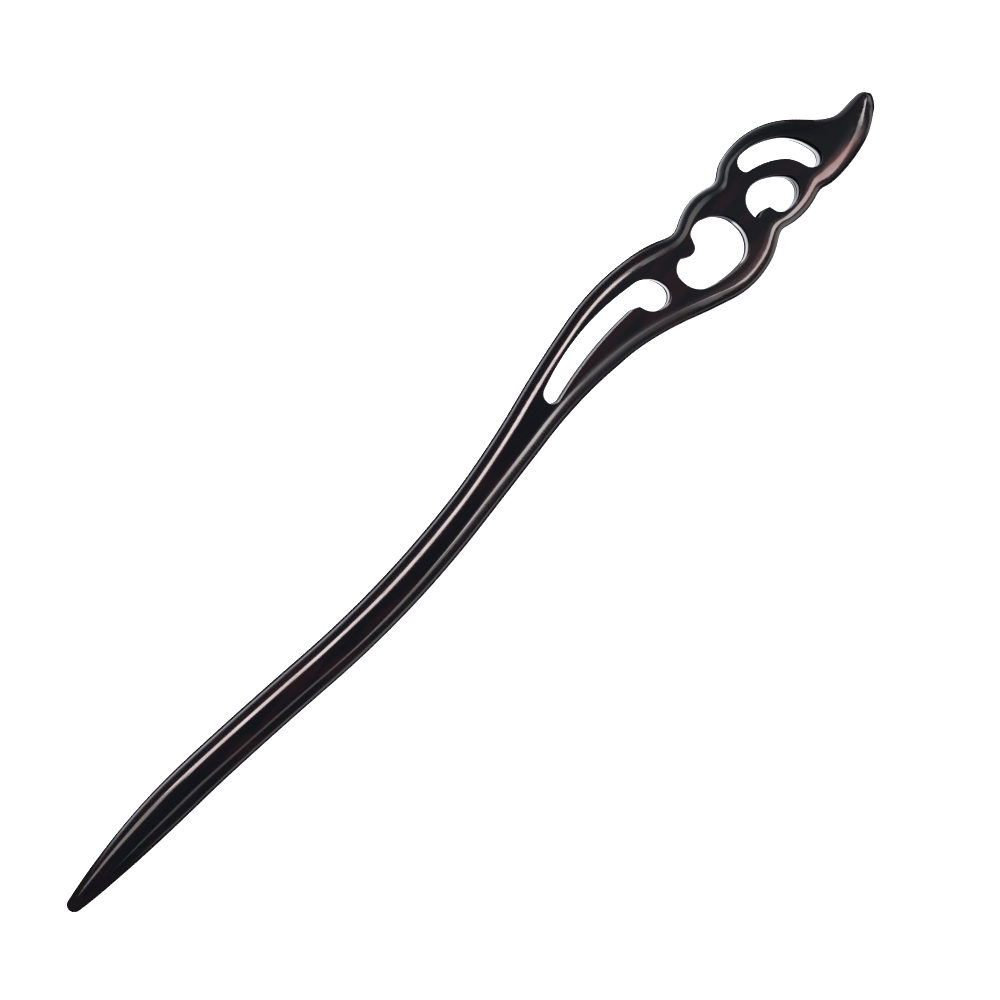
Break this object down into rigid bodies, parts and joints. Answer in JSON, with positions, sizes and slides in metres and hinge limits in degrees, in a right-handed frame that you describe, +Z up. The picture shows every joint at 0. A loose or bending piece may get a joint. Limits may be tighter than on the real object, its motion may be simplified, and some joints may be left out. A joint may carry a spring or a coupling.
{
  "type": "hair stick",
  "caption": "Carved dark wood hair stick: a slender bowed shaft with a rounded point and a flat lobed, pierced head that ends in a swept flame tip.",
  "frame": {"origin": "under the middle of the outline, on the flat back that the stick lies on", "axes": "+X along the stick from the point to the flame tip, +Y across it towards the side with the large swelling of the head, +Z up from the back to the front face"},
  "size_m": [0.18, 0.0178, 0.0055],
  "materials": {
    "wood": "near-black ebony or blackwood with dim reddish-brown streaks, hand polished to a soft gloss"
  },
  "bodies": {
    "root": {"stick": "wood"}
  },
  "joints": []
}
